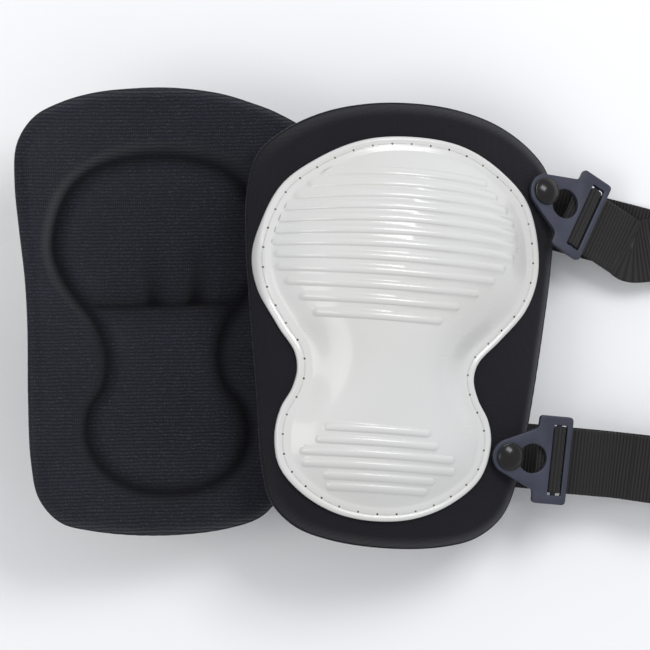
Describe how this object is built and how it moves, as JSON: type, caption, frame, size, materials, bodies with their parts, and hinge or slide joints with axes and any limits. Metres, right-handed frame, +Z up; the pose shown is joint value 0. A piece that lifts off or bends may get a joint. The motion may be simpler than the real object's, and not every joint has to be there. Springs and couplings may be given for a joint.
{
  "type": "knee pads",
  "caption": "Pair of strap-on work knee pads: hard ribbed hourglass cap sewn on a padded cloth body, with elastic straps on keyhole hooks and domed studs.",
  "frame": {"origin": "on the floor, under the middle of the pair's bounding box", "axes": "+Z up, +Y towards the thigh end of both pads, +X from the upturned left pad to the right pad and its straps"},
  "size_m": [0.4088, 0.2662, 0.0999],
  "materials": {
    "shell": "glossy off-white moulded shell",
    "thread": "white sewing thread",
    "cover_cloth": "matt black woven cloth",
    "foam": "dark closed-cell foam",
    "knit": "very dark navy brushed rib knit",
    "stud": "glossy black",
    "hook_plastic": "satin dark blue-grey moulded plastic",
    "webbing": "near-black ribbed elastic webbing"
  },
  "bodies": {
    "left_pad": {"left_cap": "shell", "left_cap_stitching": "thread", "left_outer_cover": "cover_cloth", "left_foam_core": "foam", "left_upper_cushion": "foam", "left_lower_cushion": "foam", "left_lining": "knit", "left_upper_stud_button": "stud", "left_upper_stud_post": "stud", "left_upper_stud_washer": "stud", "left_lower_stud_button": "stud", "left_lower_stud_post": "stud", "left_lower_stud_washer": "stud", "left_upper_strap": "webbing", "left_lower_strap": "webbing"},
    "right_pad": {"right_cap": "shell", "right_cap_stitching": "thread", "right_outer_cover": "cover_cloth", "right_foam_core": "foam", "right_upper_cushion": "foam", "right_lower_cushion": "foam", "right_lining": "knit", "right_upper_stud_button": "stud", "right_upper_stud_post": "stud", "right_upper_stud_washer": "stud", "right_lower_stud_button": "stud", "right_lower_stud_post": "stud", "right_lower_stud_washer": "stud", "right_upper_strap": "webbing", "right_lower_strap": "webbing"},
    "left_upper_hook": {"left_upper_hook": "hook_plastic", "left_upper_strap_end": "webbing"},
    "right_upper_hook": {"right_upper_hook": "hook_plastic", "right_upper_strap_end": "webbing"},
    "left_lower_hook": {"left_lower_hook": "hook_plastic", "left_lower_strap_end": "webbing"},
    "right_lower_hook": {"right_lower_hook": "hook_plastic", "right_lower_strap_end": "webbing"}
  },
  "joints": [
    {"name": "right_pad_lift", "type": "slide", "parent": "left_pad", "child": "right_pad", "axis": [0, 0, 1], "range_m": [0, 0.15]},
    {"name": "right_upper_hook_swing", "type": "hinge", "parent": "right_pad", "child": "right_upper_hook", "pos_m": [0.10138, 0.07367, 0.03289], "axis": [0.4706, 0.1461, 0.8702], "range_deg": [-10, 10]},
    {"name": "left_upper_hook_flap", "type": "hinge", "parent": "left_pad", "child": "left_upper_hook", "pos_m": [-0.00664, 0.06412, 0.00165], "axis": [0, -1, 0], "range_deg": [0, 15]},
    {"name": "right_lower_hook_swing", "type": "hinge", "parent": "right_pad", "child": "right_lower_hook", "pos_m": [0.08015, -0.07988, 0.0516], "axis": [0.3144, -0.0625, 0.9472], "range_deg": [-10, 10]},
    {"name": "left_lower_hook_flap", "type": "hinge", "parent": "left_pad", "child": "left_lower_hook", "pos_m": [-0.00664, -0.06788, 0.00165], "axis": [0, -1, 0], "range_deg": [0, 15]}
  ]
}
